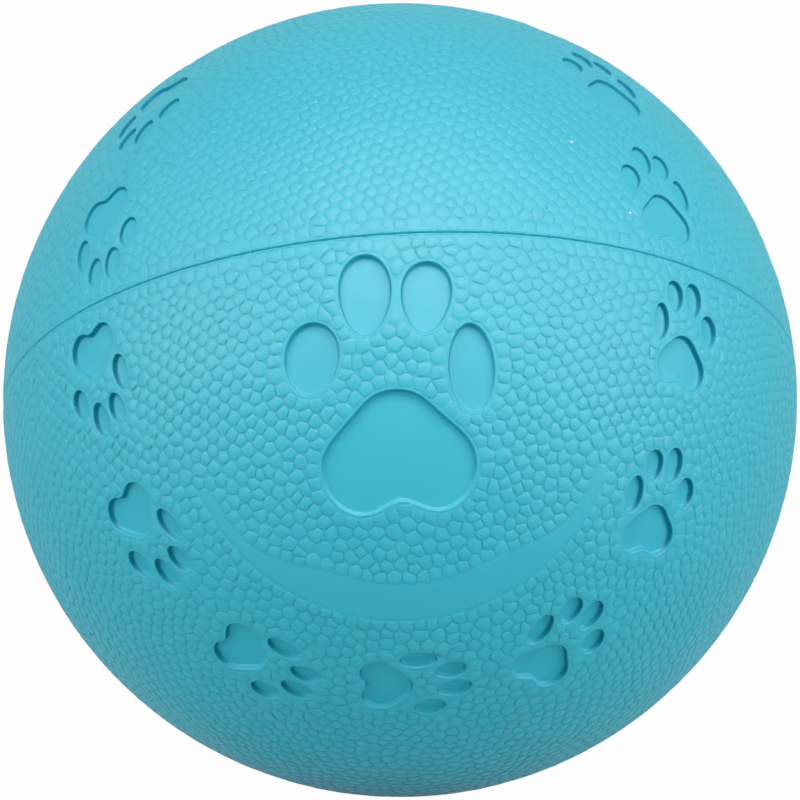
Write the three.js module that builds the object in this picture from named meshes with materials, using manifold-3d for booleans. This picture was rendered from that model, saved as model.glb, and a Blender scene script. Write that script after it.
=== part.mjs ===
// A hollow rubber dog ball: two moulded halves bonded at a seam, with paw prints sunk into the outside
// and a reed squeaker held in a socket under an air vent.
// Millimetres and degrees. +Z is up as the ball lies, and the big paw print faces -Y.
// Inside the turned ball group, z is the seam's axis: the paw half lies below z = 0, the vent half above.

import * as THREE from 'three';
import { mergeVertices } from 'three/addons/utils/BufferGeometryUtils.js';
import Module from 'manifold-3d';

const wasm = await Module();
wasm.setup();

// How the ball lies: the seam's axis leans back and to the left, and the front turns a little.
const seamTilt = 22.3;
const seamRoll = 3.5;
const frontTurn = -0.75;

// Ball and seam.
const ballDiameter = 70;
const wall = 5;
const clearance = 0.3;
const flashHeight = 0.2;
const flashWidth = 0.7;
const bondWidth = 1.8;
const bondHeight = 1.8;

// Paw prints. The toes and the pad are drawn at the big print's size, about the print's middle.
const recessDepth = 0.65;
const bigPawLatitude = 20.3;
const smallPawScale = 0.435;
const toes = [
  { x: -6.45, y: 2.5, width: 4.5, length: 6.0, lean: 11, taper: 0.06 },
  { x: -1.85, y: 7.4, width: 4.3, length: 6.8, lean: 3, taper: 0.12 },
  { x: 3.05, y: 6.9, width: 4.1, length: 6.0, lean: 8, taper: 0.16 },
  { x: 6.3, y: 1.0, width: 3.8, length: 7.2, lean: 1, taper: -0.03 },
];
const pad = {
  top: -0.35,
  apex: 1.2,
  flankTop: 2.6,
  flankBottom: 5.0,
  sideX: 6.25,
  sideY: -6.5,
  lobeX: 3.05,
  lobeY: -10.3,
  notchY: -9.3,
};

// The trail of small prints round the front lobe, in degrees: how far each print lies from the seam and
// from the lobe's middle, and where its toes point, clockwise from the vent. The lobes turn up in four
// places, and the two on the vent half are a little broader, with their prints turned.
const trail = [
  { fromSeam: 10.5, fromMiddle: -45, heading: 176 },
  { fromSeam: 33, fromMiddle: -45.5, heading: 167 },
  { fromSeam: 56, fromMiddle: -38, heading: 152 },
  { fromSeam: 64, fromMiddle: 0, heading: 90 },
  { fromSeam: 55.5, fromMiddle: 38, heading: 9 },
  { fromSeam: 33, fromMiddle: 45, heading: -6 },
  { fromSeam: 10, fromMiddle: 44, heading: 3 },
];
const ventLobeSpread = 1.075;
const ventLobeTurn = -7;

// Squeaker, its socket in the vent half, and the reed that sounds.
const ventDiameter = 3;
const squeakerDiameter = 15.4;
const cupWall = 1;
const flangeReach = 1.1;
const flangeThickness = 1.2;
const lipReach = 0.5;
const lipHeight = 1.2;
const bossWall = 2.4;
const bossFillet = 2;
const outletDiameter = 3.2;
const outletThickness = 0.7;
const holderSeat = 0.5;
const holderDiameter = 4.6;
const holderLength = 6.8;
const neckWall = 1;
const airGap = 0.8;
const coverThickness = 1.2;
const coverHoleDiameter = 1.8;
const coverHoleCount = 6;
const troughWidth = 2;
const troughDepth = 1.4;
const reedWidth = 3.4;
const reedThickness = 0.2;
const reedLength = 6.3;
const reedOverlap = 0.5;
const plugLength = 3;

// Facets.
const ballSegments = 34;
const outsideRings = 9;
const insideRings = 5;
const squeakerSegments = 22;
const bondSteps = 6;
const coverHoleSteps = 8;
const bigToeSteps = 11;
const smallToeSteps = 6;
const bigPadSteps = 3;
const smallPadSteps = 2;

// Places worked out from the sizes above.
const ballRadius = ballDiameter / 2;
const cavityRadius = ballRadius - wall;
const rimHeight = clearance / 2;
const bondRadius = cavityRadius + wall / 2;

const squeakerRadius = squeakerDiameter / 2;
const squeakerTop = cavityRadius - clearance;
const shoulder = squeakerTop - outletThickness;
const plateUnderside = shoulder - holderSeat;
const holderTop = shoulder - clearance;
const holderBottom = holderTop - holderLength;
const plugBottom = holderTop - plugLength;
const reedBottom = holderTop - reedLength;
const coverTop = holderBottom - airGap;
const squeakerBottom = coverTop - coverThickness;
const holderRadius = holderDiameter / 2;
const neckBore = holderRadius + clearance;
const cupBore = squeakerRadius - cupWall;
const flangeRadius = squeakerRadius + flangeReach;
const socketRadius = squeakerRadius + clearance;
const grooveRadius = flangeRadius + clearance;
const grooveBottom = squeakerBottom - clearance;
const grooveTop = squeakerBottom + flangeThickness + clearance;
const bossRadius = grooveRadius + bossWall;
const bossBottom = grooveBottom - lipHeight;
const reedFront = clearance;
const plugFront = reedFront + reedThickness + clearance;

const rubber = new THREE.MeshStandardMaterial({ color: 0x4bc3d6, roughness: 0.55, metalness: 0 });
const cement = new THREE.MeshStandardMaterial({ color: 0x2f8fa0, roughness: 0.7, metalness: 0 });
const whitePlastic = new THREE.MeshStandardMaterial({ color: 0xe9ecec, roughness: 0.4, metalness: 0 });
const greyPlastic = new THREE.MeshStandardMaterial({ color: 0xc9cfd2, roughness: 0.45, metalness: 0 });
const film = new THREE.MeshStandardMaterial({ color: 0xd8c9a0, roughness: 0.3, metalness: 0 });

const radians = THREE.MathUtils.degToRad;

// A closed geometry as a solid, without triangles that have shrunk to a line.
function solidOf(geometry) {
  const bare = geometry.clone();
  bare.deleteAttribute('normal');
  bare.deleteAttribute('uv');
  const merged = mergeVertices(bare, 1e-4);
  const corners = [];
  const index = merged.index.array;
  for (let i = 0; i < index.length; i += 3) {
    const [a, b, c] = index.slice(i, i + 3);
    if (a !== b && b !== c && c !== a) corners.push(a, b, c);
  }
  const mesh = new wasm.Mesh({
    numProp: 3,
    vertProperties: new Float32Array(merged.attributes.position.array),
    triVerts: new Uint32Array(corners),
  });
  return new wasm.Manifold(mesh);
}

function geometryOf(solid) {
  const { vertProperties, triVerts } = solid.getMesh();
  const geometry = new THREE.BufferGeometry();
  geometry.setAttribute('position', new THREE.BufferAttribute(new Float32Array(vertProperties), 3));
  geometry.setIndex(new THREE.BufferAttribute(new Uint32Array(triVerts), 1));
  geometry.computeVertexNormals();
  return geometry;
}

function cut(geometry, tools) {
  let solid = solidOf(geometry);
  for (const tool of tools) solid = solid.subtract(solidOf(tool));
  return geometryOf(solid);
}

function revolve(profile, segments) {
  return new THREE.LatheGeometry(profile, segments).rotateX(Math.PI / 2);
}

function circlePoints(radius, steps) {
  return Array.from({ length: steps }, (_, i) => {
    const turn = (2 * Math.PI * i) / steps;
    return new THREE.Vector2(radius * Math.cos(turn), radius * Math.sin(turn));
  });
}

// Corner points of a closed profile, given as pairs of radius and height.
function closedProfile(...corners) {
  const points = corners.map(([r, z]) => new THREE.Vector2(r, z));
  return [...points, points[0].clone()];
}

function extrude(shape, bottom, top, curveSegments) {
  const options = { depth: top - bottom, bevelEnabled: false, curveSegments };
  return new THREE.ExtrudeGeometry(shape, options).translate(0, 0, bottom);
}

// Points on a circle about the ball's centre, at angles above the seam plane. A pole lies on the axis.
function arc(radius, from, to, steps) {
  return Array.from({ length: steps + 1 }, (_, i) => {
    const angle = THREE.MathUtils.lerp(from, to, i / steps);
    const onAxis = Math.abs(angle) === 90;
    return new THREE.Vector2(onAxis ? 0 : radius * Math.cos(radians(angle)), radius * Math.sin(radians(angle)));
  });
}

function angleAtHeight(radius, height) {
  return THREE.MathUtils.radToDeg(Math.asin(height / radius));
}

function angleAtReach(radius, reach) {
  return THREE.MathUtils.radToDeg(Math.acos(reach / radius));
}

// The rim from the outside in: a raised flash at the seam, then the channel for half of the bond bead.
// side is 1 for the vent half above the seam and -1 for the paw half below it.
function rimProfile(side) {
  const channelReach = bondWidth / 2 + clearance;
  const channelHeight = bondHeight / 2 + clearance;
  const corners = [
    [ballRadius + flashHeight, rimHeight],
    [bondRadius + channelReach, rimHeight],
    [bondRadius + channelReach * 0.8, channelHeight],
    [bondRadius - channelReach * 0.8, channelHeight],
    [bondRadius - channelReach, rimHeight],
  ];
  return corners.map(([r, z]) => new THREE.Vector2(r, side * z));
}

function pawHalfShell() {
  const flashEnd = angleAtHeight(ballRadius, rimHeight + flashWidth);
  const profile = [
    ...arc(ballRadius, -90, -flashEnd, outsideRings),
    ...rimProfile(-1),
    ...arc(cavityRadius, -angleAtHeight(cavityRadius, rimHeight), -90, insideRings),
  ];
  return revolve(profile, ballSegments);
}

// The vent half carries the squeaker's socket: a boss with a snap groove, open to the air through the vent.
function ventHalfShell() {
  const ventRadius = ventDiameter / 2;
  const flashEnd = angleAtHeight(ballRadius, rimHeight + flashWidth);
  const filletEnd = angleAtReach(cavityRadius, bossRadius + bossFillet);
  const bossRoot = Math.sqrt(cavityRadius ** 2 - bossRadius ** 2) - bossFillet;
  const inside = arc(cavityRadius, filletEnd, angleAtHeight(cavityRadius, rimHeight), insideRings);
  const socket = [
    [ventRadius, cavityRadius],
    [socketRadius, cavityRadius],
    [socketRadius, grooveTop],
    [grooveRadius, grooveTop],
    [grooveRadius, grooveBottom],
    [squeakerRadius - lipReach, grooveBottom],
    [squeakerRadius, bossBottom],
    [bossRadius, bossBottom],
    [bossRadius, bossRoot],
  ];
  const profile = [
    ...arc(ballRadius, flashEnd, angleAtReach(ballRadius, ventRadius), outsideRings),
    ...socket.map(([r, z]) => new THREE.Vector2(r, z)),
    ...inside,
    ...rimProfile(1).reverse(),
  ];
  return revolve([...profile, profile[0].clone()], ballSegments);
}

// An egg: taper makes the far end of the toe broader than the end beside the pad.
function toeOutline(toe, steps) {
  return Array.from({ length: steps }, (_, i) => {
    const turn = (2 * Math.PI * i) / steps;
    const breadth = (toe.width / 2) * (1 + toe.taper * Math.sin(turn));
    const point = new THREE.Vector2(breadth * Math.cos(turn), (toe.length / 2) * Math.sin(turn));
    return point.rotateAround(new THREE.Vector2(), -radians(toe.lean)).add(new THREE.Vector2(toe.x, toe.y));
  });
}

// Points on the other side of a print, or the other foot's outline, in the same sense of turning.
function mirrored(outline) {
  return outline.map(({ x, y }) => new THREE.Vector2(-x, y)).reverse();
}

// The main pad: flanks that slope at 45 degrees from a rounded apex, full sides, and two lobes with a
// shallow notch between them.
function padOutline(steps) {
  const { top, apex, flankTop, flankBottom, sideX, sideY, lobeX, lobeY, notchY } = pad;
  const roundX = 0.55 * (sideX - lobeX);
  const roundY = 0.55 * (sideY - lobeY);
  const shape = new THREE.Shape();
  shape.moveTo(0, top);
  shape.quadraticCurveTo(top - apex, top, -flankTop, apex - flankTop);
  shape.lineTo(-flankBottom, apex - flankBottom);
  shape.quadraticCurveTo(-sideX, apex - sideX, -sideX, sideY);
  shape.bezierCurveTo(-sideX, sideY - roundY, -lobeX - roundX, lobeY, -lobeX, lobeY);
  shape.bezierCurveTo(-0.6 * lobeX, lobeY, -0.3 * lobeX, notchY, 0, notchY);
  const left = shape.getPoints(steps);
  return [...left, ...mirrored(left).slice(1, -1)];
}

// A print's place: the point on the ball at its middle (out), where its toes point (up) and its right.
function printFrame(latitude, longitude, heading) {
  const [above, along, turn] = [latitude, longitude, heading].map(radians);
  const east = new THREE.Vector3(Math.cos(along), Math.sin(along), 0);
  const out = new THREE.Vector3(0, 0, Math.sin(above))
    .addScaledVector(new THREE.Vector3(east.y, -east.x, 0), Math.cos(above));
  const north = out.clone().cross(east);
  const up = north.multiplyScalar(Math.cos(turn)).addScaledVector(east, Math.sin(turn));
  return { out, up, right: up.clone().cross(out) };
}

// A tool that sinks one outline into the ball to an even depth: walls along the radius, a domed floor.
function recessTool(outline, frame, scale) {
  const middle = new THREE.Vector2();
  for (const point of outline) middle.addScaledVector(point, 1 / outline.length);
  const onBall = (point, radius) => {
    const flat = point.clone().multiplyScalar(scale / ballRadius);
    const angle = flat.length();
    const across = angle ? Math.sin(angle) / angle : 1;
    return frame.out.clone().multiplyScalar(Math.cos(angle))
      .addScaledVector(frame.right, across * flat.x)
      .addScaledVector(frame.up, across * flat.y)
      .multiplyScalar(radius);
  };
  const above = ballRadius + recessDepth;
  const floor = ballRadius - recessDepth;
  const points = [
    ...outline.map((point) => onBall(point, above)),
    ...outline.map((point) => onBall(point, floor)),
    onBall(middle, above),
    onBall(middle, floor),
  ];
  const count = outline.length;
  const faces = outline.flatMap((_, i) => {
    const next = (i + 1) % count;
    return [
      i, next, 2 * count,
      count + next, count + i, 2 * count + 1,
      i, count + i, next,
      next, count + i, count + next,
    ];
  });
  const geometry = new THREE.BufferGeometry().setFromPoints(points);
  geometry.setIndex(faces);
  return geometry;
}

function pawPrint(frame, scale, otherFoot, toeSteps, padSteps) {
  const outlines = [padOutline(padSteps), ...toes.map((toe) => toeOutline(toe, toeSteps))];
  return outlines.map((outline) => recessTool(otherFoot ? mirrored(outline) : outline, frame, scale));
}

// Longitudes of the middles of one half's two lobes.
function lobeMiddles(side) {
  return side < 0 ? [0, 180] : [90, 270];
}

// A big print in each lobe, with its toes towards the seam.
function bigPrints(side) {
  return lobeMiddles(side).flatMap((middle) => {
    const frame = printFrame(side * bigPawLatitude, middle, side < 0 ? 0 : 180);
    return pawPrint(frame, 1, side > 0, bigToeSteps, bigPadSteps);
  });
}

// The small prints of one half, which walk round its lobes.
function trailPrints(side) {
  const spread = side < 0 ? 1 : ventLobeSpread;
  return lobeMiddles(side).flatMap((middle) => trail.flatMap(({ fromSeam, fromMiddle, heading }) => {
    const toesPoint = side < 0 ? heading : 180 - heading + ventLobeTurn;
    const frame = printFrame(side * fromSeam, middle + spread * fromMiddle, toesPoint);
    return pawPrint(frame, smallPawScale, side < 0, smallToeSteps, smallPadSteps);
  }));
}

function ballHalf(shell, side) {
  return cut(shell, [...bigPrints(side), ...trailPrints(side)]);
}

// The bead of cement that fills the channels of both rims.
function seamBond() {
  const bead = circlePoints(1, bondSteps).map(({ x, y }) => [bondRadius + x * bondWidth / 2, y * bondHeight / 2]);
  return revolve(closedProfile(...bead), ballSegments);
}

// The cup snaps into the socket by its flange, and its neck grips the reed holder.
function squeakerBody() {
  const neckRadius = neckBore + neckWall;
  const outletRadius = outletDiameter / 2;
  const flangeTop = squeakerBottom + flangeThickness;
  return revolve(closedProfile(
    [outletRadius, squeakerTop],
    [outletRadius, shoulder],
    [neckBore, shoulder],
    [neckBore, plugBottom],
    [neckRadius, plugBottom],
    [neckRadius, plateUnderside],
    [cupBore, plateUnderside],
    [cupBore, squeakerBottom],
    [flangeRadius, squeakerBottom],
    [flangeRadius, flangeTop],
    [squeakerRadius, flangeTop],
    [squeakerRadius, squeakerTop - cupWall],
    [squeakerRadius - cupWall, squeakerTop],
  ), squeakerSegments);
}

// A disc with a ring of air holes closes the cup.
function squeakerCover() {
  const coverRadius = cupBore - clearance;
  const disc = new THREE.Shape(circlePoints(coverRadius, squeakerSegments));
  const holeRing = (coverRadius + coverHoleDiameter / 2) / 2;
  disc.holes = circlePoints(holeRing, coverHoleCount).map((middle) => {
    const hole = circlePoints(coverHoleDiameter / 2, coverHoleSteps);
    return new THREE.Path(hole.map((point) => point.add(middle)));
  });
  return extrude(disc, squeakerBottom, coverTop);
}

// A half-round bar with a trough in its flat side. The trough runs out at the top, towards the vent.
function reedHolder() {
  const section = new THREE.Shape().absarc(0, 0, holderRadius, Math.PI, 2 * Math.PI);
  const troughBottom = reedBottom + reedOverlap;
  const troughLength = holderTop - troughBottom;
  const trough = new THREE.BoxGeometry(troughWidth, 2 * troughDepth, 2 * troughLength);
  trough.translate(0, 0, holderTop);
  return cut(extrude(section, holderBottom, holderTop, squeakerSegments / 2), [trough]);
}

function reedTongue() {
  const tongue = new THREE.BoxGeometry(reedWidth, reedThickness, reedLength);
  return tongue.translate(0, reedFront + reedThickness / 2, holderTop - reedLength / 2);
}

// The plug fills the other side of the neck and clamps the upper part of the reed.
function reedPlug() {
  const edge = Math.asin(plugFront / holderRadius);
  const section = new THREE.Shape().absarc(0, 0, holderRadius, edge, Math.PI - edge);
  return extrude(section, plugBottom, holderTop, squeakerSegments / 2);
}

function piece(name, geometry, material) {
  const mesh = new THREE.Mesh(geometry, material);
  mesh.name = name;
  return mesh;
}

const squeaker = new THREE.Group();
squeaker.add(
  piece('squeaker_body', squeakerBody(), whitePlastic),
  piece('squeaker_cover', squeakerCover(), whitePlastic),
  piece('reed_holder', reedHolder(), greyPlastic),
  piece('reed', reedTongue(), film),
  piece('reed_plug', reedPlug(), greyPlastic),
);

const ball = new THREE.Group();
ball.rotation.set(radians(-seamTilt), radians(-seamRoll), radians(frontTurn), 'YXZ');
ball.add(
  piece('paw_half', ballHalf(pawHalfShell(), -1), rubber),
  piece('vent_half', ballHalf(ventHalfShell(), 1), rubber),
  piece('seam_bond', seamBond(), cement),
  squeaker,
);

const part = new THREE.Group();
part.add(ball);

export default part;
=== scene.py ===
"""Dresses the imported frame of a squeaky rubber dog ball: a pebbled skin with sunken paw prints."""

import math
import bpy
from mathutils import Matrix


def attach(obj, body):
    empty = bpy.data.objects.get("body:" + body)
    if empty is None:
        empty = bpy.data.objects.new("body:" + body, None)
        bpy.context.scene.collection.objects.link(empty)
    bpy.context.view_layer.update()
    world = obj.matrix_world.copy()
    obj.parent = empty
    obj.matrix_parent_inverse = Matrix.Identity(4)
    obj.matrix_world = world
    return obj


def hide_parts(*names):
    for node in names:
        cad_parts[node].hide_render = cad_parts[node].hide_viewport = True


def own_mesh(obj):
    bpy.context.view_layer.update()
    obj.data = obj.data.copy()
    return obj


bl_info = {
    "name": "Squeaky dog ball",
    "version": (1, 0, 0),
    "blender": (4, 5, 0),
    "location": "View3D > Sidebar > Dog Ball",
    "description": "Builds the moulded skin, finishes and studio for a squeaky rubber dog ball",
    "category": "Object",
}

from typing import NamedTuple

import bmesh
import bpy
import numpy as np
from mathutils import Matrix, Vector
from mathutils.geometry import delaunay_2d_cdt
from mathutils.kdtree import KDTree

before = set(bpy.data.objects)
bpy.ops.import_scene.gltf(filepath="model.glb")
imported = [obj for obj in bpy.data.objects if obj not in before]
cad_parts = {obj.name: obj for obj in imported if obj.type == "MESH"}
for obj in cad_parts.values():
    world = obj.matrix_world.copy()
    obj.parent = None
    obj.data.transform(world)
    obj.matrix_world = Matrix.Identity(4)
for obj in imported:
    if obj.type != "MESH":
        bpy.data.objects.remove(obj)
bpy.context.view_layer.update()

MM = 0.001
GOLDEN_TURN = math.pi * (3.0 - math.sqrt(5.0))
WHITE = (1.0, 1.0, 1.0, 1.0)
TINY = 1e-6
SAME_POINT = 1e-9

PAW_SIDE = -1
VENT_SIDE = 1


class Toe(NamedTuple):
    """An egg-shaped toe of the big print, in millimetres about the print's middle."""

    x: float
    y: float
    width: float
    length: float
    lean: float
    taper: float


class Pad(NamedTuple):
    """The main pad of the big print, in millimetres about the print's middle."""

    top: float
    apex: float
    flank_top: float
    flank_bottom: float
    side_x: float
    side_y: float
    lobe_x: float
    lobe_y: float
    notch_y: float


class Step(NamedTuple):
    """A small print in the trail round a lobe, by its place and its heading in degrees."""

    from_seam: float
    from_middle: float
    heading: float


class Band(NamedTuple):
    """A smooth arc left in the pebbles below the big print, in millimetres and degrees."""

    outer: float
    inner: float
    wide_inner: float
    start: float
    end: float
    wide_start: float
    wide_end: float


class SoftBox(NamedTuple):
    """A lamp, with its place and size in radii of the ball and its power in watts.

    A twin that adds gloss alone has its own power and a share of the width and height.
    """

    name: str
    place: tuple
    width: float
    height: float
    power: float
    gloss: float
    gloss_share: float


class Mark(NamedTuple):
    """A small flaw on the skin, by its pixel in the photograph, with its size in millimetres."""

    x: float
    y: float
    size: float
    strength: float


TOES = (
    Toe(-6.45, 2.5, 4.5, 6.0, 11, 0.06),
    Toe(-1.85, 7.4, 4.3, 6.8, 3, 0.12),
    Toe(3.05, 6.9, 4.1, 6.0, 8, 0.16),
    Toe(6.3, 1.0, 3.8, 7.2, 1, -0.03),
)
PAD = Pad(
    top=-0.35,
    apex=1.2,
    flank_top=2.6,
    flank_bottom=5.0,
    side_x=6.25,
    side_y=-6.5,
    lobe_x=3.05,
    lobe_y=-10.3,
    notch_y=-9.3,
)
BAND_MIDDLE = (0.3, -1.2)
BAND = Band(
    outer=18.6,
    inner=17.5,
    wide_inner=15.3,
    start=-159.7,
    end=-21.0,
    wide_start=-128.4,
    wide_end=-49.5,
)
BAND_BLEND = 32.0
# Handles of the pad's curves, as shares: at a round corner, and from a lobe into the notch.
ROUND_HANDLE = 0.55
LOBE_HANDLE = 0.6
NOTCH_HANDLE = 0.3
LEAST_POINTS = 8
CURVE_STEPS = 24
TOE_STEPS = 96
BAND_STEPS = 160
VENT_STEPS = 36

BIG_PRINT_LATITUDE = 20.3
TRAIL = (
    Step(10.5, -45.0, 176.0),
    Step(33.0, -45.5, 167.0),
    Step(56.0, -38.0, 152.0),
    Step(64.0, 0.0, 90.0),
    Step(55.5, 38.0, 9.0),
    Step(33.0, 45.0, -6.0),
    Step(10.0, 44.0, 3.0),
)
VENT_LOBE_SPREAD = 1.075
VENT_LOBE_TURN = -7.0

# Across a recess: distance outside its outline in millimetres, share of its depth, and its steepness,
# which weights the painted shade on its wall.
RECESS_RINGS = (
    (0.16, 0.0, 0.0),
    (0.05, 0.0, 0.0),
    (0.0, 0.04, 0.3),
    (-0.03, 0.2, 0.9),
    (-0.07, 0.5, 1.0),
    (-0.11, 0.8, 1.0),
    (-0.17, 0.95, 0.6),
    (-0.28, 1.0, 0.0),
)
# Weights of the painted shade on the walls of big and small prints, and how wide the small ones are
# beside the big ones.
BIG_WALL_SHADE = 0.5
SMALL_WALL_SHADE = 0.85
SMALL_WALL = 0.8
# How far a wall's outline turns from level until it faces up and has no shade.
LIT_TURN = 0.75
# Rim of a pebble's top as a share of its cell's mean reach, and at most of its reach to each side.
PEBBLE_RIM = 0.73
PEBBLE_LIMIT = 0.85
# How far the shading of a pebble goes from a crisp rim to a dome.
PEBBLE_SOFTNESS = 0.55
# Shares of the pebbles' height between which their tops vary.
LOWEST_TOP = 0.75
TALLEST_TOP = 1.2
# The groove beside a smooth place, as shares of a groove's depth and painted shade, and the place's own
# share of that painted groove shade.
BORDER_DIP = 0.3
BORDER_FURROW = 0.2
SMOOTH_FURROW = 0.1
# Pairs of distance outside an outline and height above the skin, in millimetres.
BAND_RINGS = ((0.0, 0.0), (-0.3, 0.01))
VENT_RINGS = ((0.4, 0.0), (0.18, 0.02), (0.06, 0.0), (0.0, -0.08))
SEAM_RINGS = ((0.24, 0.02), (0.16, 0.05), (0.1, 0.05), (0.06, -0.01), (0.012, -0.12))

SEAM_STEPS = 480
INSIDE_STEPS = 96
CAVITY_STEPS = 24
# Latitude of the cavity's last ring below the pole, in degrees.
CAVITY_END = 88.0
# Each rim stops this far from the seam's plane. The seam and the vent start this far inside the skin.
RIM_LEVEL = 0.02 * MM
SEAM_EDGE = 0.6 * MM
VENT_EDGE = 0.8 * MM
# Half width of the bead's channel at its floor, as a share of that at its mouth.
CHANNEL_FLOOR = 0.8
SOCKET_EDGE = 0.3 * MM
SOCKET_SHARP = 35.0
# Middle and reach of the skin and of the inside on the map for baking, and how far the inside narrows.
SKIN_MAP = (0.42, 0.40)
INSIDE_MAP = (0.91, 0.08)
INSIDE_NARROWS = 0.9

SKIN_SEED = 41
# Area of a cell in an even pattern, as a share of the pitch squared.
EVEN_CELL = 0.866
# Shares of the pitch: the seeds' random shift; a border row's shift along it, its distance from the
# border, the room that it needs and the least spacing of its pebbles and of its guards; the distance of
# filling points from a smooth place's last ring, and of one zone's ring from the next zone; the distance
# at which corners join; and half the step that tells outside from inside.
SEED_JITTER = 0.25
ROW_JITTER = 0.3
ROW_SETBACK = 0.45
ROW_ROOM = 0.3
ROW_SPACING = 0.62
GUARD_SPACING = 0.25
FILLING_SETBACK = 0.25
RING_ROOM = 0.08
SAME_CORNER = 0.07
OUTSIDE_STEP = 0.05
SETTLE_ROUNDS = 3
SETTLE_SHARE = 0.75
JOIN_ROUNDS = 6

# Shares of other colours in the rubber: the groove colour in furrows, which is painted shade, and bloom
# and dust in their patches.
GROOVE_SHADE = 0.05
BLOOM_TINT = 0.06
DUST_TINT = 0.12
# A mark's core, its outer edge and its edge's wobble, as shares of its size.
MARK_CORE = 0.35
MARK_EDGE = 0.6
MARK_WOBBLE = 0.6

CAMERA_RADII = 9.0
PHOTO_SIZE = 800
PHOTO_CENTRE = 400.0
BALL_PIXELS = 396.2
FOCAL_PIXELS = BALL_PIXELS * math.sqrt(CAMERA_RADII**2 - 1.0)
SENSOR = 36.0
CLIP_START = 0.01
# The floor lies just under the lowest pebbles. Its reach and its bend behind are in radii of the ball.
FLOOR_DROP = 0.1 * MM
FLOOR_REACH = 40.0
FLOOR_BEND = 12.0
FLOOR_BEND_STEPS = 16
# How much of the floor's look is plain white; the rest shows the shadow.
FLOOR_WHITE = 0.97

SOFT_BOXES = (
    SoftBox("top_box", (0.3, -6.0, 6.0), 9.0, 6.0, 0.34, 1.65, 0.4),
    SoftBox("left_box", (-7.8, -5.4, 3.1), 5.0, 7.0, 0.345, 1.45, 1.0),
    SoftBox("right_box", (7.8, -5.4, 3.1), 5.0, 7.0, 0.425, 1.7, 1.0),
)
WORLD_LIGHT = 0.32

PALE_SPECKS = (Mark(571, 142, 0.32, 0.8), Mark(630, 213, 0.28, 0.7))
DARK_SPECKS = (Mark(275, 225, 0.26, 0.6), Mark(547, 208, 0.22, 0.5), Mark(254, 622, 0.24, 0.6))
STAINS = (Mark(515, 722, 2.6, 0.1),)


def length(name, description, millimetres):
    """A length in a property group, written in millimetres."""
    return bpy.props.FloatProperty(
        name=name,
        description=description,
        default=millimetres * MM,
        min=0.0,
        unit="LENGTH",
        precision=5,
    )


def angle(name, description, degrees):
    """An angle in a property group, written in degrees."""
    return bpy.props.FloatProperty(
        name=name,
        description=description,
        default=math.radians(degrees),
        subtype="ANGLE",
    )


def portion(name, description, default, smallest=0.0):
    """A share in a property group, from its smallest value to 1."""
    return bpy.props.FloatProperty(
        name=name,
        description=description,
        default=default,
        min=smallest,
        max=1.0,
        subtype="FACTOR",
    )


def colour(name, description, red, green, blue):
    """A colour in a property group, written as a screen shows it, from 0 to 255."""
    shown = np.array((red, green, blue)) / 255.0
    linear = np.where(shown <= 0.04045, shown / 12.92, ((shown + 0.055) / 1.055) ** 2.4)
    return bpy.props.FloatVectorProperty(
        name=name,
        description=description,
        default=tuple(linear),
        size=3,
        min=0.0,
        max=1.0,
        subtype="COLOR",
    )


class BallSizes(bpy.types.PropertyGroup):
    """Sizes of the moulded halves and of the relief in their skin."""

    diameter: length("Diameter", "Across the skin of the ball", 70.0)
    wall: length("Wall", "Thickness of the rubber", 5.0)
    seam_tilt: angle("Seam tilt", "How far the seam's axis leans back", 22.3)
    seam_roll: angle("Seam roll", "How far the seam's axis leans to the left", 3.5)
    front_turn: angle("Front turn", "How far the big print turns about the seam's axis", -0.75)
    small_print: portion("Small print", "Size of a print in the trail beside a big print", 0.435, 0.1)
    big_depth: length("Big print depth", "Depth of a big print under its upper edge", 0.55)
    small_depth: length("Small print depth", "Depth of a small print in the lower half", 0.5)
    upper_depth: length("Upper print depth", "Depth of a small print in the upper half", 0.3)
    far_depth: portion("Far depth", "Depth at a big print's lower edge beside its upper edge", 0.5, 0.05)
    print_margin: length("Print margin", "Smooth skin between a recess and the pebbles", 0.22)
    seam_margin: length("Seam margin", "Smooth skin between the seam and the pebbles", 0.28)
    band_margin: length("Band margin", "Smooth skin beside the bare band", 0.05)
    vent_margin: length("Vent margin", "Smooth skin round the vent", 0.6)
    vent_diameter: length("Vent", "Air hole in the upper half", 3.0)
    pebble_pitch: length("Pebble pitch", "Distance between neighbouring pebbles", 1.14)
    pebble_height: length("Pebble height", "Top of a pebble above the mean skin", 0.072)
    groove_depth: length("Groove depth", "Groove between pebbles below the mean skin", 0.042)
    upper_relief: portion("Upper relief", "Pebbles of the upper half beside those of the lower", 0.8)
    outline_step: length("Outline step", "Spacing of points along a big print's outline", 0.33)
    small_outline_step: length("Small outline step", "Spacing along a small print's outline", 0.25)
    bond_width: length("Bond width", "Width of the cement bead in the seam", 1.8)
    bond_height: length("Bond height", "Height of the cement bead in the seam", 1.8)
    clearance: length("Clearance", "Gap that stands for faces that touch", 0.3)
    travel: length("Squeeze", "How far the upper half gives way", 10.0)


class SocketSizes(bpy.types.PropertyGroup):
    """Sizes of the rubber socket that holds the squeaker, as radii and heights on the seam's axis."""

    bore: length("Bore", "Radius of the squeaker's seat", 8.0)
    groove: length("Groove", "Radius of the snap groove", 9.1)
    groove_top: length("Groove top", "Height of the snap groove's upper face", 21.4)
    groove_bottom: length("Groove bottom", "Height of the snap groove's lower face", 19.6)
    lip: length("Lip", "Radius of the lip that the flange snaps over", 7.2)
    mouth: length("Mouth", "Radius of the socket's mouth", 7.7)
    outside: length("Outside", "Radius of the boss", 11.5)
    bottom: length("Bottom", "Height of the boss's lower face", 18.4)
    root: length("Root", "Height of the boss's root inside the wall", 31.4)


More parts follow.
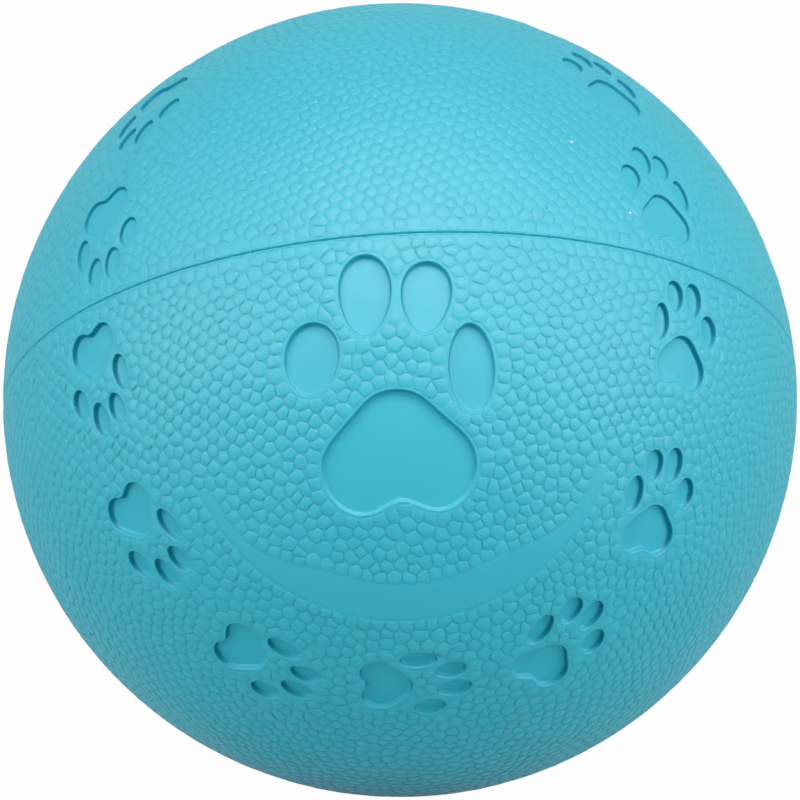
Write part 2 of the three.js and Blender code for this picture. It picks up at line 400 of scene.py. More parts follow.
class BallColours(bpy.types.PropertyGroup):
    """Colours of the rubber and of the pieces inside."""

    rubber: colour("Rubber", "Turquoise rubber of the halves", 44, 187, 208)
    # Painted shade: a darker turquoise in the grooves between the pebbles.
    groove: colour("Grooves", "Rubber between the pebbles", 26, 152, 174)
    # Painted shade: a slightly deeper turquoise that comes in with a print's depth.
    sunken: colour("Print floors", "Smooth rubber in the paw prints", 38, 186, 208)
    # Painted shade on the print walls, darker where they face down and lighter where they face up.
    wall: colour("Print walls", "Steep rubber with no bloom on it", 6, 128, 152)
    bloom: colour("Bloom", "Chalky film on the pebbles", 128, 212, 226)
    fleck: colour("Fleck", "Dust caught in the skin", 226, 240, 242)
    dirt: colour("Dirt", "Dark specks in the skin", 30, 78, 90)
    stain: colour("Stain", "Faint brown stain", 118, 132, 122)
    cement: colour("Cement", "Cured rubber cement", 47, 143, 160)
    white_plastic: colour("White plastic", "Squeaker cup and cover", 233, 236, 236)
    grey_plastic: colour("Grey plastic", "Reed holder and plug", 201, 207, 210)
    film: colour("Film", "Springy film of the reed", 216, 201, 160)
    floor: colour("Floor", "Studio floor", 208, 208, 208)


def evenly_spaced(loop, spacing):
    """The points of a closed loop, spread evenly along it."""
    closed = np.vstack([loop, loop[:1]])
    steps = np.linalg.norm(np.diff(closed, axis=0), axis=1)
    along = np.concatenate([[0.0], np.cumsum(steps)])
    count = max(LEAST_POINTS, round(along[-1] / spacing))
    wanted = np.arange(count) * along[-1] / count
    return np.column_stack([np.interp(wanted, along, column) for column in closed.T])


def outward(loop):
    """Unit normals that point out of a loop that runs anticlockwise."""
    along = np.roll(loop, -1, axis=0) - np.roll(loop, 1, axis=0)
    across = np.column_stack([along[:, 1], -along[:, 0]])
    return across / np.linalg.norm(across, axis=1, keepdims=True)


def toe_outline(toe):
    """One toe, broader at its far end where the taper is positive."""
    turn = np.linspace(0.0, 2.0 * math.pi, TOE_STEPS, endpoint=False)
    x = toe.width / 2.0 * (1.0 + toe.taper * np.sin(turn)) * np.cos(turn)
    y = toe.length / 2.0 * np.sin(turn)
    lean = -math.radians(toe.lean)
    return np.column_stack(
        [
            toe.x + x * math.cos(lean) - y * math.sin(lean),
            toe.y + x * math.sin(lean) + y * math.cos(lean),
        ]
    )


def curve(*controls):
    """Points of a Bezier curve, without its end."""
    share = np.linspace(0.0, 1.0, CURVE_STEPS, endpoint=False)[:, None]
    points = [np.array(control, float) for control in controls]
    while len(points) > 1:
        points = [start + share * (end - start) for start, end in zip(points, points[1:])]
    return points[0]


def mirrored(loop):
    """A loop or a stretch of one on the other side, in the same sense of turning."""
    return loop[::-1] * (-1.0, 1.0)


def pad_outline(pad):
    """The main pad: 45 degree flanks below a rounded apex, full sides and two lobes with a notch."""
    top = (0.0, pad.top)
    flank_top = (-pad.flank_top, pad.apex - pad.flank_top)
    flank_bottom = (-pad.flank_bottom, pad.apex - pad.flank_bottom)
    side = (-pad.side_x, pad.side_y)
    lobe = (-pad.lobe_x, pad.lobe_y)
    notch = (0.0, pad.notch_y)
    under_side = (-pad.side_x, pad.side_y - ROUND_HANDLE * (pad.side_y - pad.lobe_y))
    beside_lobe = (-pad.lobe_x - ROUND_HANDLE * (pad.side_x - pad.lobe_x), pad.lobe_y)
    past_lobe = (-LOBE_HANDLE * pad.lobe_x, pad.lobe_y)
    beside_notch = (-NOTCH_HANDLE * pad.lobe_x, pad.notch_y)
    left = np.vstack(
        [
            curve(top, (pad.top - pad.apex, pad.top), flank_top),
            curve(flank_top, flank_bottom),
            curve(flank_bottom, (-pad.side_x, pad.apex - pad.side_x), side),
            curve(side, under_side, beside_lobe, lobe),
            curve(lobe, past_lobe, beside_notch, notch),
        ]
    )
    return np.vstack([left, notch, mirrored(left)[:-1]])


def band_outline(band):
    """A smooth arc that is broader along its middle."""
    turn = np.linspace(band.start, band.end, BAND_STEPS)
    within = np.minimum(turn - band.wide_start, band.wide_end - turn)
    share = np.clip(within / BAND_BLEND + 0.5, 0.0, 1.0)
    inner = band.inner + (band.wide_inner - band.inner) * share**2 * (3.0 - 2.0 * share)
    arc = np.column_stack([np.cos(np.radians(turn)), np.sin(np.radians(turn))])
    return np.vstack([band.outer * arc, (inner[:, None] * arc)[::-1]]) + BAND_MIDDLE


def print_axes(latitude, longitude, heading):
    """Right, up and out of a print, from its place and where its toes point, in degrees."""
    above, along, turn = np.radians((latitude, longitude, heading))
    east = np.array([math.cos(along), math.sin(along), 0.0])
    reach = math.cos(above)
    out = np.array([reach * east[1], -reach * east[0], math.sin(above)])
    up = math.cos(turn) * np.cross(out, east) + math.sin(turn) * east
    return np.array([np.cross(up, out), up, out])


def lobe_middles(side):
    """Longitudes of the middles of one half's two lobes, in degrees."""
    return (0.0, 180.0) if side == PAW_SIDE else (90.0, 270.0)


def big_print_axes(side):
    """A big print in each lobe of one half, with its toes towards the seam."""
    heading = 0.0 if side == PAW_SIDE else 180.0
    return [
        print_axes(side * BIG_PRINT_LATITUDE, middle, heading) for middle in lobe_middles(side)
    ]


def trail_axes(side):
    """The small prints of one half, which walk round its lobes."""
    found = []
    for middle in lobe_middles(side):
        for step in TRAIL:
            if side == PAW_SIDE:
                longitude = middle + step.from_middle
                heading = step.heading
            else:
                longitude = middle + VENT_LOBE_SPREAD * step.from_middle
                heading = 180.0 - step.heading + VENT_LOBE_TURN
            found.append(print_axes(side * step.from_seam, longitude, heading))
    return found


def laid_on_ball(flat, axes):
    """Flat points about a print's middle, laid on a ball of radius 1 with their distances kept."""
    angle = np.linalg.norm(flat, axis=1, keepdims=True)
    across = np.sinc(angle / math.pi)
    right, up, out = axes
    return np.cos(angle) * out + across * (flat[:, :1] * right + flat[:, 1:] * up)


class Zone:
    """A smooth place in the pebbled skin, such as one toe. Lengths are shares of the ball's radius."""

    def __init__(self, loop, axes, rings, margin, shallow=1.0, hollow=False):
        self.loop = loop
        self.axes = axes
        self.rings = rings
        self.margin = margin
        self.shallow = shallow
        self.hollow = hollow

    def flat(self, offset):
        """The outline, moved outwards by an offset."""
        return self.loop + offset * outward(self.loop)

    def ring(self, offset):
        """The moved outline on the ball."""
        return laid_on_ball(self.flat(offset), self.axes)

    def upper_share(self, points):
        """How far up the place each point lies, from 0 at its lowest edge to 1 at its highest."""
        level = self.ring(0.0)[:, 2]
        rise = max(level.max() - level.min(), TINY)
        return np.clip((points[:, 2] - level.min()) / rise, 0.0, 1.0)

    def depth_share(self, points):
        """How much of its depth a recess has at each point: less at its lower edge."""
        return self.shallow + (1.0 - self.shallow) * self.upper_share(points)

    def wall_shade_share(self, points):
        """How much painted shade a wall gets at each point: all of it, but less where it faces up, as if
        lit from above.
        """
        right, up, _ = self.axes
        normals = outward(self.loop)
        lean = max(math.hypot(right[2], up[2]), TINY)
        rise = (normals[:, 0] * right[2] + normals[:, 1] * up[2]) / lean
        apart = np.linalg.norm(points[:, None] - self.ring(0.0)[None], axis=2)
        facing = rise[apart.argmin(axis=1)]
        return np.clip(1.0 + facing / LIT_TURN, 0.0, 1.0)


def recess_rings(depth, reach, shade_weight):
    """Rows of offset, height, weight of the painted wall shade from steepness, and share of the depth
    across a recess.
    """
    return np.array(
        [
            (reach * offset, -depth * part, shade_weight * wall_shade, part)
            for offset, part, wall_shade in RECESS_RINGS
        ]
    )


def level_rings(rings, share):
    """The same rows for a place that is no recess, from its offsets and heights."""
    return np.array([(share * offset, share * height, 0.0, 0.0) for offset, height in rings])


def skin_zones(side, sizes):
    """Every smooth place in one half's skin."""
    radius = sizes.diameter / 2.0
    share = MM / radius
    near_foot = [pad_outline(PAD)] + [toe_outline(toe) for toe in TOES]
    other_foot = [mirrored(loop) for loop in near_foot]
    big_loops, small_loops = near_foot, other_foot
    if side == VENT_SIDE:
        big_loops, small_loops = other_foot, near_foot
    small_depth = sizes.upper_depth if side == VENT_SIDE else sizes.small_depth
    big_rings = recess_rings(sizes.big_depth / radius, share, BIG_WALL_SHADE)
    small_rings = recess_rings(small_depth / radius, SMALL_WALL * share, SMALL_WALL_SHADE)
    margin = sizes.print_margin / radius
    zones = []
    for axes in big_print_axes(side):
        step = sizes.outline_step / radius
        for loop in big_loops:
            big = evenly_spaced(loop * share, step)
            zones.append(Zone(big, axes, big_rings, margin, sizes.far_depth))
    for axes in trail_axes(side):
        step = sizes.small_outline_step / radius
        for loop in small_loops:
            small = evenly_spaced(loop * share * sizes.small_print, step)
            zones.append(Zone(small, axes, small_rings, margin))
    if side == PAW_SIDE:
        front = big_print_axes(side)[0]
        loop = evenly_spaced(band_outline(BAND) * share, sizes.outline_step / radius)
        zones.append(Zone(loop, front, level_rings(BAND_RINGS, share), sizes.band_margin / radius))
    else:
        turn = np.linspace(0.0, 2.0 * math.pi, VENT_STEPS, endpoint=False)
        vent = np.column_stack([np.cos(turn), np.sin(turn)]) * sizes.vent_diameter / 2.0 / radius
        pole = np.identity(3)
        zones.append(
            Zone(vent, pole, level_rings(VENT_RINGS, share), sizes.vent_margin / radius, hollow=True)
        )
    return zones


def tree_of(points):
    """A search tree over points."""
    tree = KDTree(len(points))
    for index, point in enumerate(points):
        tree.insert(point, index)
    tree.balance()
    return tree


def thinned(points, gap):
    """Points with none closer to an earlier one than the gap."""
    tree = tree_of(points)
    gone = np.zeros(len(points), bool)
    for index, point in enumerate(points):
        if gone[index]:
            continue
        for _, other, _ in tree.find_range(point, gap):
            if other != index:
                gone[other] = True
    return points[~gone]


def latitude_ring(latitude, steps, shift=0.0):
    """Points on a ball of radius 1 at one latitude."""
    turn = (np.arange(steps) + shift) * 2.0 * math.pi / steps
    level = np.full(steps, math.sin(latitude))
    reach = math.cos(latitude)
    return np.column_stack([reach * np.cos(turn), reach * np.sin(turn), level])


def triangulated(points, edges=()):
    """Triangles over flat points, with every given edge among their sides."""
    made = delaunay_2d_cdt([Vector(point) for point in points], list(edges), [], 0, SAME_POINT)
    if len(made[0]) != len(points):
        raise RuntimeError("points of the skin fell together")
    return np.array(made[2])


def circumcentres(points, triangles):
    """The point that is equally far from each triangle's corners."""
    a, b, c = (points[triangles[:, k]] for k in range(3))
    b, c = b - a, c - a
    twice = 2.0 * (b[:, 0] * c[:, 1] - b[:, 1] * c[:, 0])
    bb, cc = (b**2).sum(axis=1), (c**2).sum(axis=1)
    x = (c[:, 1] * bb - b[:, 1] * cc) / twice
    y = (b[:, 0] * cc - c[:, 0] * bb) / twice
    return a + np.column_stack([x, y])


def neighbouring_triangles(triangles):
    """Pairs of triangles that share a side."""
    sides = np.vstack([triangles[:, [0, 1]], triangles[:, [1, 2]], triangles[:, [2, 0]]])
    sides = np.sort(sides, axis=1)
    owner = np.tile(np.arange(len(triangles)), 3)
    order = np.lexsort((sides[:, 1], sides[:, 0]))
    sides, owner = sides[order], owner[order]
    same = (sides[1:] == sides[:-1]).all(axis=1)
    return owner[:-1][same], owner[1:][same]


class PebbledSkin:
    """The outside of one half, worked out on a ball of radius 1 and seen flat from the far pole.

    Lengths are shares of the ball's radius. The flat view keeps angles, so cells keep their shape.
    """

    def __init__(self, side, sizes):
        self.side = side
        self.radius = sizes.diameter / 2.0
        self.zones = skin_zones(side, sizes)
        self.margin = np.array([zone.margin for zone in self.zones])
        self.pitch = sizes.pebble_pitch / self.radius
        self.seam_margin = sizes.seam_margin / self.radius
        relief = sizes.upper_relief if side == VENT_SIDE else 1.0
        self.top = relief * sizes.pebble_height / self.radius
        self.groove = relief * sizes.groove_depth / self.radius
        self.random = np.random.default_rng(SKIN_SEED + side)
        loops = [zone.ring(0.0) for zone in self.zones]
        step = OUTSIDE_STEP * self.pitch
        self.edge_points = np.vstack(loops)
        self.edge_out = np.vstack([zone.ring(step) - zone.ring(-step) for zone in self.zones])
        self.edge_zone = np.repeat(np.arange(len(loops)), [len(loop) for loop in loops])
        self.edge_tree = tree_of(self.edge_points)

    def flatten(self, points):
        """Points on the ball, as the flat view shows them."""
        return points[:, :2] / (1.0 + self.side * points[:, 2:])

    def rounded(self, flat):
        """Points of the flat view, back on the ball."""
        square = (flat**2).sum(axis=1, keepdims=True)
        return np.hstack([2.0 * flat, self.side * (1.0 - square)]) / (1.0 + square)

    def clearance(self, points):
        """How far each point lies outside the nearest outline, less than 0 inside, and its zone."""
        found = [self.edge_tree.find(point) for point in points]
        index = np.array([hit[1] for hit in found])
        away = np.array([hit[2] for hit in found])
        outside = ((points - self.edge_points[index]) * self.edge_out[index]).sum(axis=1) > 0.0
        return np.where(outside, away, -away), self.edge_zone[index]

    def above_seam(self, points):
        """How far each point lies from the seam, along the skin."""
        return np.arcsin(np.clip(self.side * points[:, 2], -1.0, 1.0))

    def scattered(self):
        """Points spread over the half, one for each pebble, a little out of order."""
        count = int(4.0 * math.pi / (EVEN_CELL * self.pitch**2))
        step = np.arange(count) + 0.5
        level = 1.0 - 2.0 * step / count
        reach = np.sqrt(1.0 - level**2)
        turn = step * GOLDEN_TURN
        points = np.column_stack([reach * np.cos(turn), reach * np.sin(turn), level])
        points += self.random.uniform(-SEED_JITTER, SEED_JITTER, points.shape) * self.pitch
        points /= np.linalg.norm(points, axis=1, keepdims=True)
        return points[self.side * points[:, 2] > 0.0]

    def bordering(self):
        """Rows of pebbles along the smooth places, and guards across the border that hold them."""
        half = ROW_SETBACK * self.pitch
        rows, guards = [], []
        for zone in self.zones:
            loop = self.uneven(evenly_spaced(zone.flat(zone.margin + half), self.pitch))
            rows.append(laid_on_ball(loop, zone.axes))
            guards.append(laid_on_ball(loop - 2.0 * half * outward(loop), zone.axes))
        steps = round(2.0 * math.pi / self.pitch)
        shift = self.random.uniform(-ROW_JITTER, ROW_JITTER, steps)
        rows.append(latitude_ring(self.side * (self.seam_margin + half), steps, shift))
        guards.append(latitude_ring(self.side * (self.seam_margin - half), steps, shift))
        rows, guards = np.vstack(rows), np.vstack(guards)
        clear, zone = self.clearance(rows)
        room = ROW_ROOM * self.pitch
        fits = clear > self.margin[zone] + room
        fits &= self.above_seam(rows) > self.seam_margin + room
        rows = thinned(rows[fits], ROW_SPACING * self.pitch)
        return rows, thinned(guards, GUARD_SPACING * self.pitch)

    def uneven(self, loop):
        """A loop's points, moved a little along it."""
        ahead = np.roll(loop, -1, axis=0) - loop
        return loop + self.random.uniform(0.0, ROW_JITTER, (len(loop), 1)) * ahead

    def settled(self, free, fixed):
        """Free flat points moved towards the middle of their neighbours."""
        count = len(free)
        for _ in range(SETTLE_ROUNDS):
            points = np.vstack([free, fixed])
            triangles = triangulated(points)
            start = triangles[:, [0, 1, 2, 0, 1, 2]].ravel()
            other = triangles[:, [1, 2, 0, 2, 0, 1]].ravel()
            number = np.bincount(start, minlength=len(points))[:count, None]
            total = np.column_stack(
                [np.bincount(start, points[other, k], len(points))[:count] for k in range(2)]
            )
            free = free + SETTLE_SHARE * (total / number - free)
        return free

    def sow(self):
        """Sets the middles of the pebbles, then the guards and the points that fill smooth places."""
        points = self.scattered()
        clear, zone = self.clearance(points)
        seam = self.above_seam(points)
        free = (clear > self.margin[zone] + self.pitch) & (seam > self.seam_margin + self.pitch)
        last = np.array([zone.rings[-1][0] for zone in self.zones])
        hollow = np.array([zone.hollow for zone in self.zones])
        inside = (clear < last[zone] - FILLING_SETBACK * self.pitch) & ~hollow[zone]
        rows, guards = self.bordering()
        rows, guards = self.flatten(rows), self.flatten(guards)
        self.filling = [
            (points[inside & (zone == number)], place, place.rings[-1])
            for number, place in enumerate(self.zones)
        ]
        fixed = np.vstack([rows, guards] + [self.flatten(row[0]) for row in self.filling])
        loose = self.settled(self.flatten(points[free]), fixed)
        self.pebble_count = len(loose) + len(rows)
        self.seeds = np.vstack([loose, fixed])

    def cut_cells(self):
        """Divides the flat view into cells, one for each pebble, with the grooves' corners shared."""
        triangles = triangulated(self.seeds)
        centres = circumcentres(self.seeds, triangles)
        first, second = neighbouring_triangles(triangles)
        apart = np.linalg.norm(centres[first] - centres[second], axis=1)
        close = apart < SAME_CORNER * self.pitch
        first, second = first[close], second[close]
        label = np.arange(len(triangles))
        for _ in range(JOIN_ROUNDS):
            low = np.minimum(label[first], label[second])
            np.minimum.at(label, first, low)
            np.minimum.at(label, second, low)
        seed = triangles.ravel()
        corner = np.repeat(label, 3)
        owned = seed < self.pebble_count
        pairs = np.unique(np.column_stack([seed[owned], corner[owned]]), axis=0)
        used, corner = np.unique(pairs[:, 1], return_inverse=True)
        members = np.isin(label, used)
        index = np.searchsorted(used, label[members])
        number = np.bincount(index)[:, None]
        self.corners = (
            np.column_stack([np.bincount(index, centres[members, k]) for k in range(2)]) / number
        )
        seed = pairs[:, 0]
        from_seed = self.corners[corner] - self.seeds[seed]
        order = np.lexsort((np.arctan2(from_seed[:, 1], from_seed[:, 0]), seed))
        self.cell_seed, self.cell_corner = seed[order], corner[order]
        self.cell_start = np.searchsorted(self.cell_seed, np.arange(self.pebble_count + 1))
        self.following = np.arange(len(corner)) + 1
        self.following[self.cell_start[1:] - 1] = self.cell_start[:-1]

    def smooth_points(self):
        """Points across each smooth place and the seam, with their height, painted wall shade and depth.
        """
        rows = list(self.filling)
        for number, zone in enumerate(self.zones):
            for values in zone.rings:
                offset = values[0]
                ring = zone.ring(offset)
                if offset > 0.0:
                    reach = offset + RING_ROOM * self.pitch
                    ring = np.array([point for point in ring if self.alone(point, number, reach)])
                if zone.hollow and offset == 0.0:
                    self.vent_size = len(ring)
                    self.vent_start = sum(len(row[0]) for row in rows)
                if len(ring):
                    rows.append((ring, zone, values))
        points = [self.flatten(ring) for ring, _, _ in rows]
        values = [
            np.column_stack(
                [
                    height * zone.depth_share(ring),
                    wall_shade * zone.wall_shade_share(ring),
                    np.full(len(ring), part),
                ]
            )
            for ring, zone, (_, height, wall_shade, part) in rows
        ]
        for distance, height in np.array(SEAM_RINGS) * MM / self.radius:
            points.append(self.flatten(latitude_ring(self.side * distance, SEAM_STEPS)))
            values.append(np.tile((height, 0.0, 0.0), (SEAM_STEPS, 1)))
        return np.vstack(points), *np.vstack(values).T

    def alone(self, point, number, reach):
        """Whether no other zone's outline lies within reach of a point."""
        found = self.edge_tree.find_range(point, reach)
        return all(self.edge_zone[index] == number for _, index, _ in found)

    def pebbles(self):
        """The rims of the pebbles' tops, and the faces of their banks and tops."""
        seed, corner, start = self.cell_seed, self.cell_corner, self.cell_start
        sides = np.diff(start)
        middle = np.column_stack(
            [np.add.reduceat(self.corners[corner, k], start[:-1]) for k in range(2)]
        )
        middle /= sides[:, None]
        to_corner = self.corners[corner] - middle[seed]
        to_side = 0.5 * (to_corner + to_corner[self.following])
        mean_reach = (np.bincount(seed, np.linalg.norm(to_corner, axis=1)) / sides)[seed]
        rims = []
        for spoke in (to_corner, to_side):
            share = PEBBLE_RIM * mean_reach / np.linalg.norm(spoke, axis=1)
            rims.append(middle[seed] + np.minimum(share, PEBBLE_LIMIT)[:, None] * spoke)
        at_corner = len(self.corners) + np.arange(len(corner))
        at_side = at_corner + len(corner)
        banks = np.column_stack(
            [corner, corner[self.following], at_corner[self.following], at_side, at_corner]
        )
        around = np.column_stack([at_corner, at_side])
        tops = [around[first:end].ravel().tolist() for first, end in zip(start, start[1:])]
        return np.vstack(rims), banks.tolist() + tops

    def smooth_sheet(self, smooth, first_smooth):
        """The corners that border on smooth places, and triangles from them over those places."""
        count = len(self.corners)
        begin, end = self.cell_corner, self.cell_corner[self.following]
        border = ~np.isin(begin * count + end, end * count + begin)
        both_ends = np.concatenate([begin[border], end[border]])
        bound, index = np.unique(both_ends, return_inverse=True)
        sheet = np.vstack([self.corners[bound], smooth])
        triangles = triangulated(sheet, index.reshape(2, -1).T.tolist())
        seeds = tree_of(np.column_stack([self.seeds, np.zeros(len(self.seeds))]))
        centroids = sheet[triangles].mean(axis=1)
        nearest = np.array([seeds.find((x, y, 0.0))[1] for x, y in centroids])
        place = np.concatenate([bound, first_smooth + np.arange(len(smooth))])
        triangles = place[triangles[nearest >= self.pebble_count]]
        if self.side == VENT_SIDE:
            self.vent_ring = first_smooth + self.vent_start + np.arange(self.vent_size)
            triangles = triangles[~np.isin(triangles, self.vent_ring).all(axis=1)]
        return bound, triangles.tolist()

    def grow(self):
        """Makes the skin: its points on the ball, their relief, and its faces."""
        self.sow()
        self.cut_cells()
        rims, pebble_faces = self.pebbles()
        lift = self.top * self.random.uniform(LOWEST_TOP, TALLEST_TOP, self.pebble_count)
        smooth, smooth_height, wall_shade, sunken = self.smooth_points()
        count = len(self.corners)
        first_smooth = count + len(rims)
        self.rim_range = (count, first_smooth)
        bound, smooth_faces = self.smooth_sheet(smooth, first_smooth)
        self.faces = pebble_faces + smooth_faces
        dip = np.full(count, -self.groove)
        dip[bound] *= BORDER_DIP
        height = np.concatenate([dip, np.tile(lift[self.cell_seed], 2), smooth_height])
        self.flat = np.vstack([self.corners, rims, smooth])
        self.points = self.rounded(self.flat) * (1.0 + height[:, None]) * self.radius
        self.seam_ring = len(self.flat) - SEAM_STEPS + np.arange(SEAM_STEPS)
        edge = np.ones(count)
        edge[bound] = BORDER_FURROW
        level = np.full(len(smooth), SMOOTH_FURROW)
        self.furrow = np.concatenate([edge, np.zeros(len(rims)), level])
        pebbles = np.zeros(first_smooth)
        self.wall_shade = np.concatenate([pebbles, wall_shade])
        self.sunken = np.concatenate([pebbles, sunken])
        return self


def bridged(first, second):
    """Triangles between two closed rings of vertices that start side by side."""
    faces = []
    a, b = 0, 0
    while a < len(first) or b < len(second):
        if (a + 1) * len(second) <= (b + 1) * len(first):
            faces.append((first[a], first[(a + 1) % len(first)], second[b % len(second)]))
            a += 1
        else:
            faces.append((first[a % len(first)], second[(b + 1) % len(second)], second[b]))
            b += 1
    return faces


def revolved(profile, steps):
    """Points of one ring for each pair of radius and height."""
    turn = np.arange(steps) * 2.0 * math.pi / steps
    rings = [
        np.column_stack([reach * np.cos(turn), reach * np.sin(turn), np.full(steps, level)])
        for reach, level in profile
    ]
    return np.vstack(rings)


def rim_profile(sizes):
    """The rim from the outside in, with the channel for half of the cement bead."""
    bond = sizes.diameter / 2.0 - sizes.wall / 2.0
    reach = sizes.bond_width / 2.0 + sizes.clearance
    depth = sizes.bond_height / 2.0 + sizes.clearance
    return [
        (sizes.diameter / 2.0 - SEAM_EDGE, RIM_LEVEL),
        (bond + reach, RIM_LEVEL),
        (bond + CHANNEL_FLOOR * reach, depth),
        (bond - CHANNEL_FLOOR * reach, depth),
        (bond - reach, RIM_LEVEL),
    ]


def inside_profile(side, sizes, socket):
    """The rim and the cavity, from the seam to the pole, or to the vent and out through it."""
    cavity = sizes.diameter / 2.0 - sizes.wall
    if side == PAW_SIDE:
        end = math.radians(CAVITY_END)
        tail = []
    else:
        seat = socket.bore + sizes.clearance
        end = math.acos(seat / cavity)
        vent = sizes.vent_diameter / 2.0
        tail = [(seat, cavity), (vent, cavity), (vent, sizes.diameter / 2.0 - VENT_EDGE)]
    arc = [
        (cavity * math.cos(rise), cavity * math.sin(rise))
        for rise in np.linspace(RIM_LEVEL / cavity, end, CAVITY_STEPS)
    ]
    return [(reach, side * level) for reach, level in rim_profile(sizes) + arc + tail]


def as_it_lies(sizes):
    """The turn from the mould, whose z is the seam's axis, to the ball as it lies."""
    return (
        Matrix.Rotation(-sizes.seam_roll, 3, "Y")
        @ Matrix.Rotation(-sizes.seam_tilt, 3, "X")
        @ Matrix.Rotation(sizes.front_turn, 3, "Z")
    )


def new_piece(name, points, faces, turn, finish):
    """A smooth closed mesh, turned as the ball lies, with one finish."""
    mesh = bpy.data.meshes.new(name)
    mesh.from_pydata((points @ np.array(turn).T).tolist(), [], faces)
    mesh.polygons.foreach_set("use_smooth", np.ones(len(mesh.polygons), bool))
    mesh.materials.append(finish)
    piece = bpy.data.objects.new(name, mesh)
    bpy.context.scene.collection.objects.link(piece)
    return piece


def set_point_values(mesh, name, values):
    """Keeps a number for each point, for a finish to read."""
    attribute = mesh.attributes.new(name, "FLOAT", "POINT")
    attribute.data.foreach_set("value", np.asarray(values, np.float32))


def set_map(mesh, places):
    """Lays the mesh's points out flat for baking."""
    layer = mesh.uv_layers.new(name="OFBake")
    corner = np.zeros(len(mesh.loops), np.int32)
    mesh.loops.foreach_get("vertex_index", corner)
    layer.uv.foreach_set("vector", np.asarray(places, np.float32)[corner].ravel())


def moulded_half(name, side, sizes, socket, finish):
    """One half: the pebbled skin outside, closed by its rim and cavity."""
    skin = PebbledSkin(side, sizes).grow()
    profile = inside_profile(side, sizes, socket)
    inside = revolved(profile, INSIDE_STEPS)
    start = len(skin.points)
    rings = start + np.arange(len(inside)).reshape(len(profile), INSIDE_STEPS)
    faces = list(skin.faces)
    faces += bridged(skin.seam_ring.tolist(), rings[0].tolist())
    for ring, following in zip(rings[:-1].tolist(), rings[1:].tolist()):
        faces += bridged(ring, following)
    if side == VENT_SIDE:
        faces += bridged(rings[-1].tolist(), skin.vent_ring.tolist())
    else:
        faces.append(tuple(rings[-1].tolist()))
    points = np.vstack([skin.points, inside])
    piece = new_piece(name, points, faces, as_it_lies(sizes), finish)
    blank = np.zeros(len(inside))
    for kind in ("furrow", "sunken", "wall_shade"):
        set_point_values(piece.data, kind, np.concatenate([getattr(skin, kind), blank]))
    outer = SKIN_MAP[0] + SKIN_MAP[1] * skin.flat
    turn = np.tile(np.arange(INSIDE_STEPS) * 2.0 * math.pi / INSIDE_STEPS, len(profile))
    inwards = np.arange(len(profile)) / len(profile)
    share = np.repeat(1.0 - INSIDE_NARROWS * inwards, INSIDE_STEPS)
    rings = np.column_stack([share * np.cos(turn), share * np.sin(turn)])
    set_map(piece.data, np.vstack([outer, INSIDE_MAP[0] + INSIDE_MAP[1] * rings]))
    face_outwards(piece.data)
    flatten_tops(piece.data, *skin.rim_range)
    return piece


def vectors_of(collection):
    """The vectors of a mesh's collection, as rows."""
    rows = np.zeros((len(collection), 3), np.float32)
    collection.foreach_get("vector", rows.ravel())
    return rows


def flatten_tops(mesh, first, end):
    """Shades the pebbles' tops nearly flat up to a soft rim, from the range of the rims' points."""
    ends = np.zeros(2 * len(mesh.edges), np.int32)
    mesh.edges.foreach_get("vertices", ends)
    on_rim = ((ends >= first) & (ends < end)).reshape(-1, 2).all(axis=1)
    mesh.edges.foreach_set("use_edge_sharp", on_rim)
    corner = np.zeros(len(mesh.loops), np.int32)
    mesh.loops.foreach_get("vertex_index", corner)
    crisp = vectors_of(mesh.corner_normals)
    rounded = vectors_of(mesh.vertex_normals)[corner]
    normals = crisp + PEBBLE_SOFTNESS * (rounded - crisp)
    normals /= np.linalg.norm(normals, axis=1, keepdims=True)
    mesh.normals_split_custom_set(normals.tolist())


def face_outwards(mesh):
    """Turns every face of a closed mesh outwards."""
    shape = bmesh.new()
    shape.from_mesh(mesh)
    bmesh.ops.recalc_face_normals(shape, faces=shape.faces)
    shape.to_mesh(mesh)
    shape.free()


class Wire:
    """A node's output. Arithmetic on it adds Math nodes."""

    def __init__(self, finish, socket):
        self.finish = finish
        self.socket = socket

    def worked(self, operation, first, second):
        """The result of a Math node."""
        return self.finish.node("ShaderNodeMath", {"operation": operation}, {0: first, 1: second})

    def __add__(self, other):
        return self.worked("ADD", self, other)

    __radd__ = __add__

    def __sub__(self, other):
        return self.worked("SUBTRACT", self, other)

    def __rsub__(self, other):
        return self.worked("SUBTRACT", other, self)

    def __mul__(self, other):
        return self.worked("MULTIPLY", self, other)

    __rmul__ = __mul__


